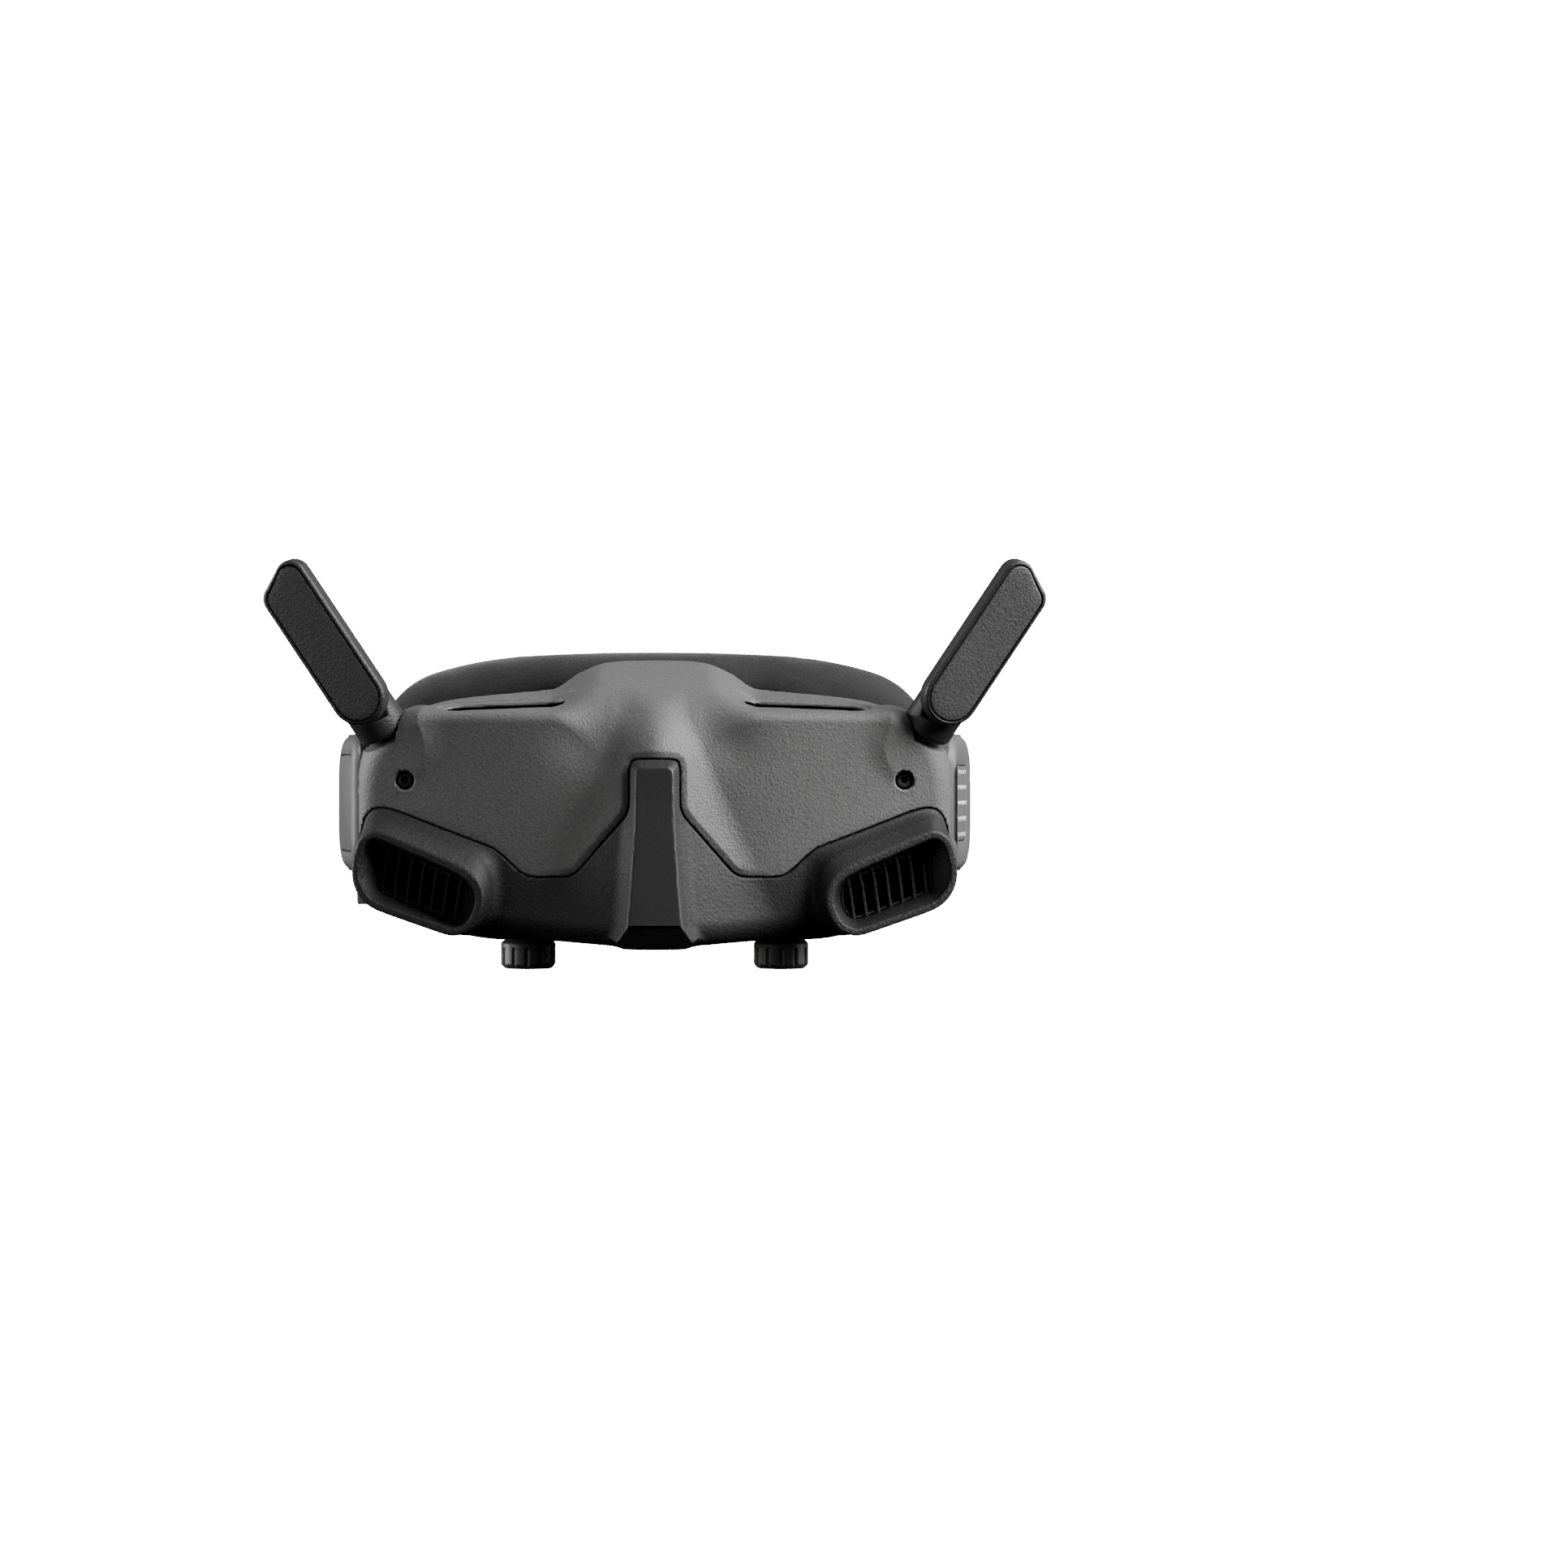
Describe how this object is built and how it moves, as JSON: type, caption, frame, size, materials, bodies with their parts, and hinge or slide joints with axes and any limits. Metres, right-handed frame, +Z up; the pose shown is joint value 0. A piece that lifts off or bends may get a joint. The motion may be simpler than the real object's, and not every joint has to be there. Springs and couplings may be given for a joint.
{
  "type": "fpv goggles",
  "caption": "Head-worn video goggles with folding paddle antennas, front intake ducts, sliding eyepieces, focus knobs and a padded face seal.",
  "frame": {"origin": "bottom centre of the bounding box, level with the ends of the focus knobs", "axes": "+Z up, front of the goggles towards -Y, +X towards the wearer's left"},
  "size_m": [0.1974, 0.104, 0.1039],
  "materials": {
    "upper_shell": "matte moulded plastic, fine spark texture",
    "lower_shell": "matte dark moulded plastic, fine spark texture",
    "side_cover": "smooth satin plastic",
    "dot_paint": "pale satin light dots",
    "dark_plastic": "matte black plastic",
    "frame_plastic": "matte dark plastic",
    "pale_plastic": "pale grey plastic",
    "foam_fabric": "fine knitted fabric over soft foam",
    "steel": "satin steel",
    "black_screw": "blackened steel",
    "brass": "turned brass",
    "aluminium": "bare aluminium",
    "lens": "polished clear optic",
    "display_glass": "glossy black",
    "circuit_board": "green solder mask",
    "cable_jacket": "thin black jacket"
  },
  "bodies": {
    "headset": {"front_shell_upper": "upper_shell", "front_shell_lower": "lower_shell", "mid_frame": "frame_plastic", "face_frame": "frame_plastic", "foam_frame": "dark_plastic", "face_foam": "foam_fabric", "inner_cover": "dark_plastic", "proximity_sensor": "display_glass", "touch_panel": "side_cover", "side_dots": "dot_paint", "ipd_rail_upper": "steel", "ipd_rail_lower": "steel", "fan_frame": "dark_plastic", "heat_sink": "aluminium", "video_board": "circuit_board", "radio_board": "circuit_board", "board_shield": "steel", "power_socket": "pale_plastic", "usb_port": "steel", "card_slot": "steel", "front_screw_left": "black_screw", "front_screw_right": "black_screw", "intake_grille_left": "dark_plastic", "intake_grille_right": "dark_plastic", "vent_mesh_left": "black_screw", "vent_mesh_right": "black_screw", "side_cover_left": "side_cover", "side_cover_right": "side_cover", "band_anchor_left": "frame_plastic", "band_anchor_right": "frame_plastic", "antenna_base_left": "lower_shell", "antenna_base_right": "lower_shell", "antenna_pin_left": "steel", "antenna_pin_right": "steel", "antenna_coax_left": "cable_jacket", "antenna_coax_right": "cable_jacket"},
    "fan": {"fan_rotor": "dark_plastic"},
    "button": {"link_button": "dark_plastic"},
    "antenna_left": {"antenna_blade_left": "lower_shell", "antenna_cover_left": "lower_shell", "antenna_board_left": "circuit_board"},
    "carriage_left": {"ipd_carriage_left": "dark_plastic", "micro_display_left": "display_glass"},
    "barrel_left": {"lens_barrel_left": "dark_plastic", "eyepiece_lens_left": "lens", "lens_ring_left": "dark_plastic"},
    "bush_left": {"knob_bush_left": "brass"},
    "knob_left": {"focus_knob_left": "lower_shell", "knob_shaft_left": "steel"},
    "antenna_right": {"antenna_blade_right": "lower_shell", "antenna_cover_right": "lower_shell", "antenna_board_right": "circuit_board"},
    "carriage_right": {"ipd_carriage_right": "dark_plastic", "micro_display_right": "display_glass"},
    "barrel_right": {"lens_barrel_right": "dark_plastic", "eyepiece_lens_right": "lens", "lens_ring_right": "dark_plastic"},
    "bush_right": {"knob_bush_right": "brass"},
    "knob_right": {"focus_knob_right": "lower_shell", "knob_shaft_right": "steel"}
  },
  "joints": [
    {"name": "antenna_fold_left", "type": "hinge", "parent": "headset", "child": "antenna_left", "pos_m": [0.0736, -0.0295, 0.0696], "axis": [0.2435, -0.9563, -0.1618], "range_deg": [0, 100]},
    {"name": "eye_spacing_left", "type": "slide", "parent": "headset", "child": "carriage_left", "axis": [1, 0, 0], "range_m": [-0.004, 0.004]},
    {"name": "focus_left", "type": "slide", "parent": "carriage_left", "child": "barrel_left", "axis": [0, 1, 0], "range_m": [-0.0012, 0.0048]},
    {"name": "knob_push_left", "type": "slide", "parent": "carriage_left", "child": "bush_left", "axis": [0, 0, 1], "range_m": [0, 0.0025]},
    {"name": "knob_turn_left", "type": "hinge", "parent": "bush_left", "child": "knob_left", "pos_m": [0.0322, -0.02, 0], "axis": [0, 0, 1], "range_deg": [-28.7, 114.7]},
    {"name": "antenna_fold_right", "type": "hinge", "parent": "headset", "child": "antenna_right", "pos_m": [-0.0736, -0.0295, 0.0696], "axis": [0.2435, 0.9563, 0.1618], "range_deg": [0, 100]},
    {"name": "eye_spacing_right", "type": "slide", "parent": "headset", "child": "carriage_right", "axis": [1, 0, 0], "range_m": [-0.004, 0.004]},
    {"name": "focus_right", "type": "slide", "parent": "carriage_right", "child": "barrel_right", "axis": [0, 1, 0], "range_m": [-0.0012, 0.0048]},
    {"name": "knob_push_right", "type": "slide", "parent": "carriage_right", "child": "bush_right", "axis": [0, 0, 1], "range_m": [0, 0.0025]},
    {"name": "knob_turn_right", "type": "hinge", "parent": "bush_right", "child": "knob_right", "pos_m": [-0.0322, -0.02, 0], "axis": [0, 0, -1], "range_deg": [-28.7, 114.7]},
    {"name": "fan_spin", "type": "hinge", "parent": "headset", "child": "fan", "pos_m": [0, -0.032, 0.05], "axis": [0, 1, 0], "continuous": true},
    {"name": "link_press", "type": "slide", "parent": "headset", "child": "button", "axis": [0, 0, 1], "range_m": [0, 0.0006], "stiffness_N_per_m": 1200, "springref_m": -0.0003}
  ],
  "couplings": [
    {"joint": "knob_turn_left", "follows": "focus_left", "rad_per_m": 416.67},
    {"joint": "knob_turn_right", "follows": "focus_right", "rad_per_m": 416.67}
  ]
}
